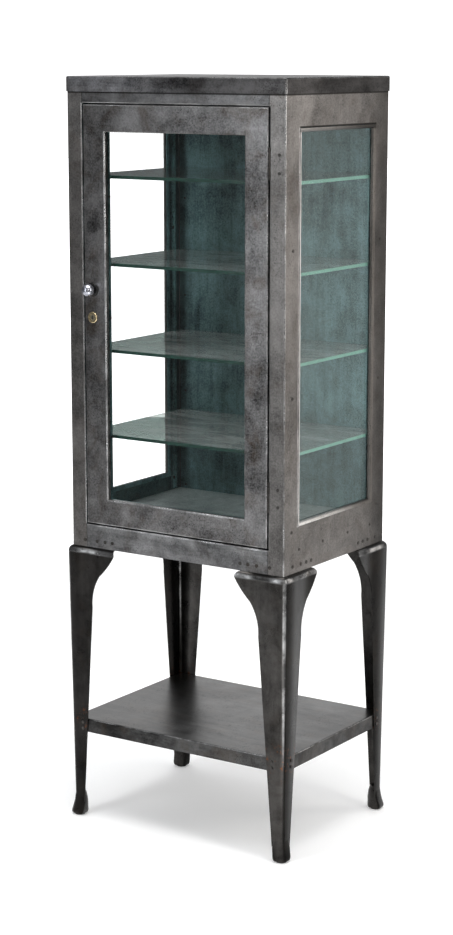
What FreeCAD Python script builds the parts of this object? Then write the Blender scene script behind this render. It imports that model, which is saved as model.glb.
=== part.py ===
import FreeCAD, Part
import math
import os

V = FreeCAD.Vector

# Overall sizes in millimetres
HEIGHT = 1516.0
BODY_W = 508.0
BODY_D = 381.0
LEG_TOP = 576.0
SHEET = 1.5
BEND = 3.0
KNOB_REACH = 27.5
FOOT_PROUD = 9.5

# Small clearances shared by the fits
RUN = 0.05
SNUG = 0.02

# Cap
CAP_RIM = 30.0
CAP_FIT = 1.0
CAP_CORNER = 6.0
CAP_EDGE = 3.5

# Door opening
STILE = 36.0
TOP_RAIL = 52.0
BOTTOM_RAIL = 47.5
STOP_LIP = 10.0
STOP_GAP = 1.0
DECK_RISE = 8.5
DECK_FLANGE = 24.0

# Door
DOOR_T = 20.0
GAP_LATCH = 2.0
GAP_HINGE = 3.0
GAP_TOP = 2.5
GAP_BOTTOM = 2.5
DOOR_MEMBER = 52.5
DOOR_WALL = 1.5
DOOR_EDGE = 3.0
REBATE_W = 8.0
REBATE_Y = 10.0
DOOR_GLASS_T = 4.0
GLASS_FIT = 1.0
STOP_STRIP_W = 6.5

# Side windows
WINDOW_BORDER = 49.5
WINDOW_DOWN = 92.5
WINDOW_UP = 89.5
SIDE_GLASS_T = 3.0
BEAD_W = 7.4
BEAD_T = 7.0
BEAD_PROUD = 1.0
BEAD_FIT = 0.8
LINER = 1.2

# Glass shelves
SHELF_T = 6.35
SHELF_DOWN = 195.5
SHELF_UP = 227.0
SHELF_COUNT = 4
SHELF_SIDE_GAP = 1.5
SHELF_FRONT = 30.5
SHELF_BACK_GAP = 4.0

# Shelf standards and clips
STANDARD_IN = 27.5
STANDARD_W = 16.0
STANDARD_D = 5.0
STANDARD_END = 2.0
STANDARD_SCREWS = (0.662, 0.333, 0.028)
SLOT_PITCH = 50.8
CLIP_W = 12.0
CLIP_T = 2.0
CLIP_DROP = 14.0
CLIP_REACH = 16.0

# Legs
LEG_T = 2.0
ANKLE = 30.0
LEG_PROUD_TOP = 8.8
LEG_PROUD_ANKLE = 2.7
LEG_CORNER = 8.0
LEG_ROLL = 11.0
LEG_FLANGE = 22.0
LEG_FLANGE_RUN = 107.0
LEG_RIVETS = (32.0, 62.0, 82.0, 100.0)
LEG_RIVET_Z = 14.0

# Lower shelf
TRAY_TOP = 212.0
TRAY_RIM = 28.0
TRAY_HEM = 8.0
TRAY_CORNER = 9.0
TRAY_RIVET_IN = 24.0
TRAY_RIVET_Z = (8.0, 21.0)

# Knob and lock
KNOB_IN = 20.0
KNOB_DOWN = 416.0
KNOB_BALL = 12.7
ROSETTE_R = 14.0
ROSETTE_T = 3.5
SPINDLE_R = 4.0
CATCH_LEN = 26.0
CATCH_W = 12.0
CATCH_Y = 23.5
CATCH_T = 2.5
NUT_T = 4.0
LOCK_DOWN = 55.3
LOCK_COLLAR_R = 11.25
LOCK_COLLAR_T = 2.5
BARREL_R = 8.0
PLUG_R = 6.0
BARREL_END = 25.0
CAM_GAP = 0.3

# Hinges
HINGE_R = 2.5
HINGE_PIN_R = 1.25
HINGE_H = 60.0
HINGE_Y = 1.0
HINGE_DOWN = 106.0
HINGE_UP = 103.5
HINGE_LEAF = 1.2
HINGE_FRAME_LEAF = 2.0
HINGE_SCREW_IN = 22.0
HINGE_SCREW_DZ = 17.0
KNUCKLES = 5
KNUCKLE_GAP = 0.3
NOTCH = 0.4

# Derived positions
HX = BODY_W / 2
HY = BODY_D / 2
FRONT = -HY
IN_X = HX - SHEET
BODY_TOP = HEIGHT - SHEET
OPEN_X = HX - STILE
OPEN_TOP = HEIGHT - TOP_RAIL
OPEN_BOTTOM = LEG_TOP + BOTTOM_RAIL
STOP_Y = FRONT + DOOR_T + STOP_GAP
STOP_BACK = STOP_Y + SHEET
DECK_TOP = OPEN_BOTTOM + DECK_RISE
CEILING = HEIGHT - CAP_RIM
BACK_IN = HY - SHEET - LINER
WIN_Y = HY - WINDOW_BORDER
WINDOW_TOP = HEIGHT - WINDOW_DOWN
WINDOW_BOTTOM = LEG_TOP + WINDOW_UP
SIDE_GLASS_X = HX + BEAD_PROUD - BEAD_T
SHELF_HALF_W = SIDE_GLASS_X - SIDE_GLASS_T - LINER - SHELF_SIDE_GAP
SHELF_FIRST = HEIGHT - SHELF_DOWN
SHELF_PITCH = (SHELF_FIRST - LEG_TOP - SHELF_UP) / (SHELF_COUNT - 1)
STANDARD_Y = HY - STANDARD_IN
STANDARD_Z0 = DECK_TOP + STANDARD_END
STANDARD_Z1 = CEILING - STANDARD_END
KNOB_X = KNOB_IN + GAP_LATCH - OPEN_X
KNOB_Z = HEIGHT - KNOB_DOWN
LOCK_Z = KNOB_Z - LOCK_DOWN
HINGE_SCREW_X = OPEN_X + HINGE_SCREW_IN
HINGE_ZS = (OPEN_TOP - HINGE_DOWN, OPEN_BOTTOM + HINGE_UP)
CENTRE_SHIFT = (KNOB_REACH - FOOT_PROUD) / 2


def box(x0, x1, y0, y1, z0, z1):
    return Part.makeBox(x1 - x0, y1 - y0, z1 - z0, V(x0, y0, z0))


def rod_x(x0, x1, y, z, r):
    return Part.makeCylinder(r, x1 - x0, V(x0, y, z), V(1, 0, 0))


def rod_y(y0, y1, x, z, r):
    return Part.makeCylinder(r, y1 - y0, V(x, y0, z), V(0, 1, 0))


def rod_z(z0, z1, x, y, r):
    return Part.makeCylinder(r, z1 - z0, V(x, y, z0), V(0, 0, 1))


def hex_y(y0, y1, x, z, flats):
    corner = flats / math.sqrt(3)
    points = []
    for i in range(7):
        a = math.radians(90 + 60 * i)
        points.append(V(x + corner * math.cos(a), y0, z + corner * math.sin(a)))
    return Part.Face(Part.makePolygon(points)).extrude(V(0, y1 - y0, 0))


def mirror_x(shape):
    return shape.mirror(V(0, 0, 0), V(1, 0, 0))


def mirror_y(shape):
    return shape.mirror(V(0, 0, 0), V(0, 1, 0))


def round_edges(shape, radius, wanted):
    edges = [e for e in shape.Edges if wanted(e)]
    return shape.makeFillet(radius, edges)


def at_height(z):
    def check(edge):
        return all(abs(v.Z - z) < 0.01 for v in edge.Vertexes)
    return check


def upright(edge):
    a = edge.Vertexes[0].Point
    b = edge.Vertexes[-1].Point
    return abs(a.x - b.x) < 0.01 and abs(a.y - b.y) < 0.01 and abs(a.z - b.z) > 0.01


def save(name, shapes):
    whole = Part.makeCompound(shapes) if len(shapes) > 1 else shapes[0].copy()
    whole.translate(V(0, CENTRE_SHIFT, 0))
    whole.exportStep("parts/" + name + ".step")


def one(shape):
    return shape.Solids[0] if len(shape.Solids) == 1 else shape


# Folded sheet: a path of the sheet's right-hand face, with the thickness on its left
def unit(a, b):
    d = (b[0] - a[0], b[1] - a[1])
    n = math.hypot(d[0], d[1])
    return (d[0] / n, d[1] / n)


def shift_left(points, t):
    moved = []
    last = len(points) - 1
    for i, p in enumerate(points):
        before = unit(points[max(i - 1, 0)], points[max(i - 1, 0) + 1])
        after = unit(points[min(i, last - 1)], points[min(i, last - 1) + 1])
        bisect = 1 + before[0] * after[0] + before[1] * after[1]
        nx = -(before[1] + after[1]) * t / bisect
        ny = (before[0] + after[0]) * t / bisect
        moved.append((p[0] + nx, p[1] + ny))
    return moved


def turn(a, b, c):
    d = unit(a, b)
    e = unit(b, c)
    return d[0] * e[1] - d[1] * e[0]


def curved_path(points, radii, place):
    edges = []
    start = points[0]
    for i in range(1, len(points) - 1):
        d = unit(points[i - 1], points[i])
        e = unit(points[i], points[i + 1])
        r = radii[i]
        side = 1 if turn(points[i - 1], points[i], points[i + 1]) > 0 else -1
        angle = math.acos(d[0] * e[0] + d[1] * e[1])
        run = r * math.tan(angle / 2)
        a = (points[i][0] - d[0] * run, points[i][1] - d[1] * run)
        b = (points[i][0] + e[0] * run, points[i][1] + e[1] * run)
        c = (a[0] - d[1] * r * side, a[1] + d[0] * r * side)
        away = unit(c, points[i])
        m = (c[0] + away[0] * r, c[1] + away[1] * r)
        edges.append(Part.makeLine(place(start), place(a)))
        edges.append(Part.Arc(place(a), place(m), place(b)).toShape())
        start = b
    edges.append(Part.makeLine(place(start), place(points[-1])))
    return edges


def folded(points, t, bend, place, along):
    inner = shift_left(points, t)
    right = [0.0]
    left = [0.0]
    for i in range(1, len(points) - 1):
        outside = turn(points[i - 1], points[i], points[i + 1]) > 0
        right.append(bend if outside else bend - t)
        left.append(bend - t if outside else bend)
    edges = curved_path(points, right, place)
    edges += curved_path(inner, left, place)
    edges.append(Part.makeLine(place(points[0]), place(inner[0])))
    edges.append(Part.makeLine(place(points[-1]), place(inner[-1])))
    wire = Part.Wire(Part.__sortEdges__(edges))
    return Part.Face(wire).extrude(along)


def plan_at(z):
    def place(p):
        return V(p[0], p[1], z)
    return place


def section_at(x):
    def place(p):
        return V(x, p[0], p[1])
    return place


def fastener_x(x_face, out, y, z, r, head_r, head, grip, tail_r, tail):
    """A rivet or screw along X with its outer head on the face at x_face and its tail inside."""
    a = x_face + out * head
    b = x_face
    c = x_face - out * grip
    d = c - out * tail
    parts = [rod_x(min(a, b), max(a, b), y, z, head_r)]
    parts.append(rod_x(min(b, c), max(b, c), y, z, r))
    parts.append(rod_x(min(c, d), max(c, d), y, z, tail_r))
    return one(parts[0].fuse(parts[1:]).removeSplitter())


def fastener_y(y_face, out, x, z, r, head_r, head, grip, tail_r, tail):
    """The same along Y."""
    made = fastener_x(y_face, out, 0, z, r, head_r, head, grip, tail_r, tail)
    made.rotate(V(0, 0, 0), V(0, 0, 1), 90)
    made.translate(V(x, 0, 0))
    return made


os.makedirs("parts", exist_ok=True)

# Fastener positions used by more than one piece
RIVET_R = 2.4
RIVET_HEAD_R = 3.6
SCREW_R = 2.0
SCREW_HEAD_R = 3.2
STANDARD_SCREW_Z = [STANDARD_Z0 + share * (STANDARD_Z1 - STANDARD_Z0) for share in STANDARD_SCREWS]
DECK_SCREW_Y = [share * HY for share in (-0.71, -0.25, 0.25, 0.71)]
DECK_SCREW_Z = DECK_TOP - DECK_FLANGE / 2
BACK_SCREW_COUNT = 5
BACK_SCREW_LOW = LEG_TOP + 64.0
BACK_SCREW_STEP = (OPEN_TOP - BACK_SCREW_LOW) / (BACK_SCREW_COUNT - 1)
BACK_SCREW_Z = [BACK_SCREW_LOW + i * BACK_SCREW_STEP for i in range(BACK_SCREW_COUNT)]
BACK_SCREW_X = HX - STILE / 2

# Side panels
post = [(OPEN_X, FRONT), (HX, FRONT), (HX, HY), (HX - STILE, HY)]
jamb = [(OPEN_X - STOP_LIP, STOP_Y), (OPEN_X, STOP_Y)] + post
lower = folded(post, SHEET, BEND, plan_at(LEG_TOP), V(0, 0, OPEN_BOTTOM - LEG_TOP))
middle = folded(jamb, SHEET, BEND, plan_at(OPEN_BOTTOM), V(0, 0, OPEN_TOP - OPEN_BOTTOM))
upper = folded(post, SHEET, BEND, plan_at(OPEN_TOP), V(0, 0, BODY_TOP - OPEN_TOP))
panel = lower.fuse([middle, upper]).removeSplitter()
cuts = [box(IN_X - 1, HX + 1, -WIN_Y, WIN_Y, WINDOW_BOTTOM, WINDOW_TOP)]
for side in (-1, 1):
    for z in STANDARD_SCREW_Z:
        cuts.append(rod_x(IN_X - 1, HX + 1, side * STANDARD_Y, z, SCREW_R + SNUG))
    for a in LEG_RIVETS:
        cuts.append(rod_x(IN_X - 1, HX + 1, side * (HY - a), LEG_TOP + LEG_RIVET_Z, RIVET_R + SNUG))
    edge = side * (HY - SHEET / 2)
    x = HX - LEG_RIVETS[0]
    cuts.append(rod_y(edge - 2, edge + 2, x, LEG_TOP + LEG_RIVET_Z, RIVET_R + SNUG))
for y in DECK_SCREW_Y:
    cuts.append(rod_x(IN_X - 1, HX + 1, y, DECK_SCREW_Z, SCREW_R + SNUG))
for z in BACK_SCREW_Z:
    cuts.append(rod_y(HY - 3, HY + 1, BACK_SCREW_X, z, SCREW_R + SNUG))
panel = panel.cut(cuts)
save("left_side_panel", [one(mirror_x(panel))])

hinge_x = OPEN_X - GAP_HINGE + HINGE_R
hinge_y = FRONT + HINGE_Y
notches = []
leaf_x0 = OPEN_X + BEND
for z in HINGE_ZS:
    low = z - HINGE_H / 2 - NOTCH
    high = z + HINGE_H / 2 + NOTCH
    depth = FRONT + SHEET + HINGE_FRAME_LEAF + NOTCH
    notches.append(box(OPEN_X - 1, leaf_x0, FRONT - 1, depth, low, high))
    for dz in (-HINGE_SCREW_DZ, HINGE_SCREW_DZ):
        notches.append(rod_y(FRONT - 1, FRONT + 3, HINGE_SCREW_X, z + dz, SCREW_R + SNUG))
save("right_side_panel", [one(panel.cut(notches))])

# Front rails, butted between the stiles
top_path = [
    (FRONT + 18, BODY_TOP),
    (FRONT, BODY_TOP),
    (FRONT, OPEN_TOP),
    (STOP_Y, OPEN_TOP),
    (STOP_Y, OPEN_TOP - STOP_LIP),
]
rail = folded(top_path, SHEET, BEND, section_at(-OPEN_X), V(2 * OPEN_X, 0, 0))
lip_in = OPEN_X - STOP_LIP
for side in (-1, 1):
    ends = sorted((side * lip_in, side * (OPEN_X + 1)))
    rail = rail.cut(box(ends[0], ends[1], FRONT + 5, STOP_Y + 9, OPEN_TOP - 30, OPEN_TOP))
save("front_top_rail", [one(rail)])

low_path = [(STOP_Y, DECK_TOP), (STOP_Y, OPEN_BOTTOM), (FRONT, OPEN_BOTTOM), (FRONT, LEG_TOP)]
rail = folded(low_path, SHEET, BEND, section_at(-OPEN_X), V(2 * OPEN_X, 0, 0))
cuts = []
for side in (-1, 1):
    ends = sorted((side * lip_in, side * (OPEN_X + 1)))
    cuts.append(box(ends[0], ends[1], FRONT + 5, STOP_Y + 9, OPEN_BOTTOM, OPEN_BOTTOM + 30))
    for a in LEG_RIVETS[1:]:
        x = side * (HX - a)
        cuts.append(rod_y(FRONT - 1, FRONT + 3, x, LEG_TOP + LEG_RIVET_Z, RIVET_R + SNUG))
save("front_bottom_rail", [one(rail.cut(cuts))])

# Rear bottom rail and back panel
rear = box(-OPEN_X, OPEN_X, HY - SHEET, HY, LEG_TOP, OPEN_BOTTOM)
cuts = []
for side in (-1, 1):
    for a in LEG_RIVETS[1:]:
        x = side * (HX - a)
        cuts.append(rod_y(HY - 3, HY + 1, x, LEG_TOP + LEG_RIVET_Z, RIVET_R + SNUG))
save("rear_bottom_rail", [one(rear.cut(cuts))])

back_z0 = LEG_TOP + LEG_FLANGE + 4
back = box(-IN_X, IN_X, BACK_IN, HY - SHEET, back_z0, CEILING + 20)
cuts = []
screws = []
for side in (-1, 1):
    for z in BACK_SCREW_Z:
        x = side * BACK_SCREW_X
        cuts.append(rod_y(BACK_IN - 1, HY, x, z, SCREW_R + SNUG))
        screws.append(fastener_y(HY, 1, x, z, SCREW_R, SCREW_HEAD_R, 1.0, SHEET + LINER, SCREW_R, 1.6))
back = back.cut(cuts)
for side in (-1, 1):
    corner = sorted((side * (IN_X - BEND), side * (IN_X + 1)))
    back = back.cut(box(corner[0], corner[1], HY - SHEET - BEND, HY, back_z0 - 1, CEILING + 21))
save("back_panel", [one(back)])
save("back_panel_screws", screws)

# Deck and carcass top
deck = box(-IN_X, IN_X, STOP_BACK, BACK_IN, DECK_TOP - DECK_FLANGE, DECK_TOP)
deck = round_edges(deck, 2.0, at_height(DECK_TOP))
hollow = box(
    -IN_X + SHEET,
    IN_X - SHEET,
    STOP_BACK + SHEET,
    BACK_IN - SHEET,
    DECK_TOP - DECK_FLANGE - 1,
    DECK_TOP - SHEET,
)
deck = deck.cut(hollow)
screws = []
cuts = []
for side in (-1, 1):
    for y in DECK_SCREW_Y:
        ends = sorted((side * (IN_X - 4), side * (IN_X + 1)))
        cuts.append(rod_x(ends[0], ends[1], y, DECK_SCREW_Z, SCREW_R + SNUG))
        screws.append(fastener_x(side * HX, side, y, DECK_SCREW_Z, SCREW_R, 2.8, 0.7, 2 * SHEET, 3.4, 1.8))
save("cabinet_deck", [one(deck.cut(cuts))])
save("deck_screws", screws)

lid = box(-IN_X, IN_X, FRONT + SHEET, BACK_IN, CEILING, BODY_TOP - SHEET - BEND)
lid = round_edges(lid, BEND, upright)
lid = round_edges(lid, 2.0, at_height(CEILING))
hollow = box(-IN_X + SHEET, IN_X - SHEET, FRONT + 2 * SHEET, BACK_IN - SHEET, CEILING + SHEET, BODY_TOP)
save("carcass_top", [one(lid.cut(hollow))])

# Cap
over = SHEET + CAP_FIT
cap = box(-HX - over, HX + over, FRONT - over, HY + over, CEILING, HEIGHT)
cap = round_edges(cap, CAP_CORNER, upright)
cap = round_edges(cap, CAP_EDGE, at_height(HEIGHT))
room = box(-HX - CAP_FIT, HX + CAP_FIT, FRONT - CAP_FIT, HY + CAP_FIT, CEILING - 1, BODY_TOP)
room = round_edges(room, CAP_CORNER - SHEET, upright)
save("top_cap", [one(cap.cut(room))])

# Side windows: rebate frame, pane and mitred beads on the right, mirrored to the left
glass_x0 = SIDE_GLASS_X - SIDE_GLASS_T
web = box(glass_x0 - LINER, IN_X, -WIN_Y - LINER, WIN_Y + LINER, WINDOW_BOTTOM - LINER, WINDOW_TOP + LINER)
web = web.cut(box(glass_x0, IN_X + 1, -WIN_Y, WIN_Y, WINDOW_BOTTOM, WINDOW_TOP))
clear_y = WIN_Y - REBATE_W
web = web.cut(box(0, IN_X, -clear_y, clear_y, WINDOW_BOTTOM + REBATE_W, WINDOW_TOP - REBATE_W))
save("right_window_rebate", [one(web)])
save("left_window_rebate", [one(mirror_x(web))])

pane = box(
    glass_x0,
    SIDE_GLASS_X,
    -WIN_Y + GLASS_FIT,
    WIN_Y - GLASS_FIT,
    WINDOW_BOTTOM,
    WINDOW_TOP - 2 * GLASS_FIT,
)
save("right_side_pane", [one(pane)])
save("left_side_pane", [one(mirror_x(pane))])


def mitred(profile_edges, length, width):
    """A strip along Y with 45 degree ends; the profile runs inwards along Z from the outer edge."""
    face = Part.Face(Part.Wire(Part.__sortEdges__(profile_edges)))
    bar = face.extrude(V(0, length, 0))
    h = length / 2
    outline = [(-h, 0), (h, 0), (h - width, width), (-h + width, width), (-h, 0)]
    points = [V(-50, p[0], p[1]) for p in outline]
    wedge = Part.Face(Part.makePolygon(points)).extrude(V(100, 0, 0))
    return bar.common(wedge)


def bead_strip(length):
    y = -length / 2
    p = [V(0, y, 0), V(BEAD_T, y, 0), V(BEAD_T, y, 1.5), V(5.4, y, 5.6), V(2.0, y, BEAD_W), V(0, y, BEAD_W)]
    edges = [Part.makeLine(p[0], p[1]), Part.makeLine(p[1], p[2])]
    edges.append(Part.Arc(p[2], p[3], p[4]).toShape())
    edges += [Part.makeLine(p[4], p[5]), Part.makeLine(p[5], p[0])]
    return mitred(edges, length, BEAD_W)


def frame_of(strip, long_half, tall_half):
    """Four strips round a rectangle in the YZ plane, centred on the origin."""
    pieces = []
    for angle, reach, length in (
        (0, tall_half, 2 * long_half),
        (90, long_half, 2 * tall_half),
        (180, tall_half, 2 * long_half),
        (270, long_half, 2 * tall_half),
    ):
        bar = strip(length)
        bar.translate(V(0, 0, -reach))
        bar.rotate(V(0, 0, 0), V(1, 0, 0), angle)
        pieces.append(one(bar))
    return pieces


window_mid = (WINDOW_TOP + WINDOW_BOTTOM) / 2
beads = frame_of(bead_strip, WIN_Y - BEAD_FIT, (WINDOW_TOP - WINDOW_BOTTOM) / 2 - BEAD_FIT)
for bead in beads:
    bead.translate(V(SIDE_GLASS_X, 0, window_mid))
save("right_window_beads", beads)
save("left_window_beads", [one(mirror_x(b)) for b in beads])

# Shelf standards, clips and glass shelves
wall = IN_X
standard_path = [
    (wall - STANDARD_D, STANDARD_Y - STANDARD_W / 2),
    (wall, STANDARD_Y - STANDARD_W / 2),
    (wall, STANDARD_Y + STANDARD_W / 2),
    (wall - STANDARD_D, STANDARD_Y + STANDARD_W / 2),
]
run = STANDARD_Z1 - STANDARD_Z0
standard = folded(standard_path, LINER, 2.0, plan_at(STANDARD_Z0), V(0, 0, run))
cuts = []
for i in range(int(run / SLOT_PITCH)):
    z = STANDARD_Z0 + (i + 0.5) * SLOT_PITCH
    if all(abs(z - s) > 9 for s in STANDARD_SCREW_Z):
        cuts.append(box(wall - 3, wall + 1, STANDARD_Y - 4, STANDARD_Y + 4, z - 1.6, z + 1.6))
for z in STANDARD_SCREW_Z:
    cuts.append(rod_x(wall - 3, wall + 1, STANDARD_Y, z, SCREW_R + SNUG))
standard = one(standard.cut(cuts))
save("right_rear_standard", [standard])
save("right_front_standard", [one(mirror_y(standard))])
save("left_rear_standard", [one(mirror_x(standard))])
save("left_front_standard", [one(mirror_x(mirror_y(standard)))])

screws = []
clips = []
shelf_tops = [SHELF_FIRST - i * SHELF_PITCH + SHELF_T / 2 for i in range(SHELF_COUNT)]
for sx in (-1, 1):
    for sy in (-1, 1):
        y = sy * STANDARD_Y
        for z in STANDARD_SCREW_Z:
            grip = SHEET + LINER
            screws.append(fastener_x(sx * HX, sx, y, z, SCREW_R, SCREW_HEAD_R, 0.8, grip, 3.4, 1.8))
        for top in shelf_tops:
            z = top - SHELF_T
            a = wall - LINER
            arm = box(a - CLIP_REACH, a, y - CLIP_W / 2, y + CLIP_W / 2, z - CLIP_T, z)
            leg = box(a - CLIP_T, a, y - CLIP_W / 2, y + CLIP_W / 2, z - CLIP_DROP, z)
            clip = arm.fuse(leg).removeSplitter()
            clips.append(one(clip if sx > 0 else mirror_x(clip)))
save("standard_screws", screws)
save("shelf_clips", clips)

shelf_names = ("upper_shelf", "second_shelf", "third_shelf", "bottom_shelf")
for name, top in zip(shelf_names, shelf_tops):
    glass = box(-SHELF_HALF_W, SHELF_HALF_W, FRONT + SHELF_FRONT, BACK_IN - SHELF_BACK_GAP, top - SHELF_T, top)
    save(name, [one(round_edges(glass, 3.0, upright))])


# Legs: the front right one is drawn, the others are mirrored from it
def leg_proud(z):
    share = (z - ANKLE) / (LEG_TOP - ANKLE)
    return LEG_PROUD_ANKLE + share * (LEG_PROUD_TOP - LEG_PROUD_ANKLE)


def corner_section(z, inset, radius, reach):
    x = HX + leg_proud(z) - inset
    y = FRONT - leg_proud(z) + inset
    m = radius * (1 - math.sqrt(0.5))
    a = V(x - reach, y, z)
    b = V(x - radius, y, z)
    c = V(x - m, y + m, z)
    d = V(x, y + radius, z)
    e = V(x, y + reach, z)
    f = V(x - reach, y + reach, z)
    edges = [Part.makeLine(a, b), Part.Arc(b, c, d).toShape()]
    edges += [Part.makeLine(d, e), Part.makeLine(e, f), Part.makeLine(f, a)]
    return Part.Wire(edges)


def corner_block(z0, z1, inset, radius, reach, roll):
    ends = [corner_section(z0, inset, radius, reach), corner_section(z1, inset, radius, reach)]
    block = Part.makeLoft(ends, True, True)
    far_x = HX + leg_proud(z1) - inset - reach
    far_y = FRONT - leg_proud(z1) + inset + reach

    def rolled(edge):
        if not at_height(z1)(edge):
            return False
        on_x = all(abs(v.X - far_x) < 0.01 for v in edge.Vertexes)
        on_y = all(abs(v.Y - far_y) < 0.01 for v in edge.Vertexes)
        return not (on_x or on_y)

    return round_edges(block, roll, rolled)


# Outline of one leg face: distance in from the carcass corner, and height
LEG_FOOT = (23.2, ANKLE)
LEG_SHIN = (53.0, LEG_TOP - 124.0)
LEG_KNEE = (57.8, LEG_TOP - 85.0)
LEG_WAIST = (71.8, LEG_TOP - 57.0)
LEG_SWELL = (92.8, LEG_TOP - 34.5)
LEG_TIP = (108.3, LEG_TOP - 12.0)
LEG_CURL = (106.4, LEG_TOP - 4.5)
LEG_END = (99.5, LEG_TOP)


def leg_outline(place):
    p = [place(q) for q in (LEG_FOOT, LEG_SHIN, LEG_KNEE, LEG_WAIST, LEG_SWELL, LEG_TIP, LEG_CURL, LEG_END)]
    top = place((LEG_END[0], LEG_TOP + 1))
    out_top = place((-40, LEG_TOP + 1))
    out_foot = place((-40, ANKLE))
    edges = [Part.makeLine(p[0], p[1])]
    edges.append(Part.Arc(p[1], p[2], p[3]).toShape())
    edges.append(Part.Arc(p[3], p[4], p[5]).toShape())
    edges.append(Part.Arc(p[5], p[6], p[7]).toShape())
    edges.append(Part.makeLine(p[7], top))
    edges.append(Part.makeLine(top, out_top))
    edges.append(Part.makeLine(out_top, out_foot))
    edges.append(Part.makeLine(out_foot, p[0]))
    return Part.Face(Part.Wire(edges))


def on_front(p):
    return V(HX - p[0], FRONT - 40, p[1])


def on_side(p):
    return V(HX + 40, FRONT + p[0], p[1])


def foot_section(z, proud, width, outer_r, inner_r, heel_r):
    x = HX + proud
    y = FRONT - proud
    corners = []
    for dx, dy, r in ((0, 0, outer_r), (0, width, inner_r), (-width, width, heel_r), (-width, 0, inner_r)):
        corners.append((V(x + dx, y + dy, z), r))
    edges = []
    count = len(corners)
    for i in range(count):
        prev, here, after = corners[i - 1], corners[i], corners[(i + 1) % count]
        d = (prev[0] - here[0]).normalize()
        e = (after[0] - here[0]).normalize()
        a = here[0] + d * here[1]
        b = here[0] + e * here[1]
        c = here[0] + (d + e) * here[1]
        m = c - (d + e).normalize() * here[1]
        edges.append(Part.Arc(a, m, b).toShape())
        d_next = (here[0] - after[0]).normalize()
        edges.append(Part.makeLine(b, after[0] + d_next * after[1]))
    return Part.Wire(edges)


GLIDE_R = 11.0
GLIDE_T = 3.0
GLIDE_STEM_R = 3.0
GLIDE_STEM = 14.0
FOOT_W = 29.5
foot_wires = [
    foot_section(50.0, 1.6, 20.0, 5.0, 3.0, 14.0),
    foot_section(40.0, 3.2, 24.5, 6.5, 4.0, 17.0),
    foot_section(30.0, 4.8, 28.0, 8.0, 5.0, 20.0),
    foot_section(20.0, 6.9, 29.2, 9.0, 6.0, 16.0),
    foot_section(12.0, 8.8, 29.7, 9.5, 6.5, 11.0),
    foot_section(7.0, FOOT_PROUD, FOOT_W, 9.5, 7.0, 8.0),
    foot_section(GLIDE_T, FOOT_PROUD - 1.5, FOOT_W - 3.0, 9.0, 6.0, 7.0),
]
foot = Part.makeLoft(foot_wires, True, False)
foot_x = HX + FOOT_PROUD - FOOT_W / 2
foot_y = FRONT - FOOT_PROUD + FOOT_W / 2

REACH = 130.0
skin = corner_block(ANKLE, LEG_TOP, 0.0, LEG_CORNER, REACH, LEG_ROLL)
core = corner_block(ANKLE - 1, LEG_TOP - LEG_T, LEG_T, LEG_CORNER - LEG_T, REACH + 20, LEG_ROLL - LEG_T)
shell = skin.cut(core)
flange_in = SHEET + LEG_T
front_zone = box(HX - 200, HX + 40, FRONT - 40, FRONT + flange_in, 0, LEG_TOP + 1)
side_zone = box(HX - flange_in, HX + 40, FRONT - 40, FRONT + 200, 0, LEG_TOP + 1)
front_form = leg_outline(on_front).extrude(V(0, 100, 0)).common(front_zone)
side_form = leg_outline(on_side).extrude(V(-100, 0, 0)).common(side_zone)
front_skin = shell.common(front_form)
side_skin = shell.common(side_form)
flange_z1 = LEG_TOP + LEG_FLANGE
run_x = HX - LEG_FLANGE_RUN
run_y = FRONT + LEG_FLANGE_RUN
flange = box(run_x, IN_X, FRONT + SHEET, run_y, LEG_TOP - LEG_T, flange_z1)
flange = flange.cut(box(run_x - 1, IN_X - LEG_T, FRONT + SHEET + LEG_T, run_y + 1, 0, flange_z1 + 1))


def outer_corner(edge):
    p = edge.Vertexes[0].Point
    return upright(edge) and abs(p.x - IN_X) < 0.01 and abs(p.y - FRONT - SHEET) < 0.01


flange = round_edges(flange, 2.5, outer_corner)
tips = [
    box(run_x - 1, HX - LEG_END[0] + 1, FRONT - 1, FRONT + 9, LEG_TOP - 9, LEG_TOP),
    box(HX - 9, HX + 1, FRONT + LEG_END[0] - 1, run_y + 1, LEG_TOP - 9, LEG_TOP),
]
flange = flange.cut(tips)
leg = front_skin.fuse([side_skin, flange, foot]).removeSplitter()
cuts = []
rivet_z = LEG_TOP + LEG_RIVET_Z
for a in LEG_RIVETS:
    cuts.append(rod_y(FRONT, FRONT + 6, HX - a, rivet_z, RIVET_R + SNUG))
    cuts.append(rod_x(HX - 6, HX, FRONT + a, rivet_z, RIVET_R + SNUG))
tray_rivet_zs = [TRAY_TOP - d for d in TRAY_RIVET_Z]
for z in tray_rivet_zs:
    cuts.append(rod_y(FRONT - 9, FRONT + 6, HX - TRAY_RIVET_IN, z, SCREW_R + SNUG))
    cuts.append(rod_x(HX - 6, HX + 9, FRONT + TRAY_RIVET_IN, z, SCREW_R + SNUG))
cuts.append(rod_z(0, GLIDE_T + GLIDE_STEM, foot_x, foot_y, GLIDE_STEM_R + SNUG))
leg = one(leg.cut(cuts))
save("front_right_leg", [leg])
save("front_left_leg", [one(mirror_x(leg))])
save("rear_right_leg", [one(mirror_y(leg))])
save("rear_left_leg", [one(mirror_x(mirror_y(leg)))])

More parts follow.
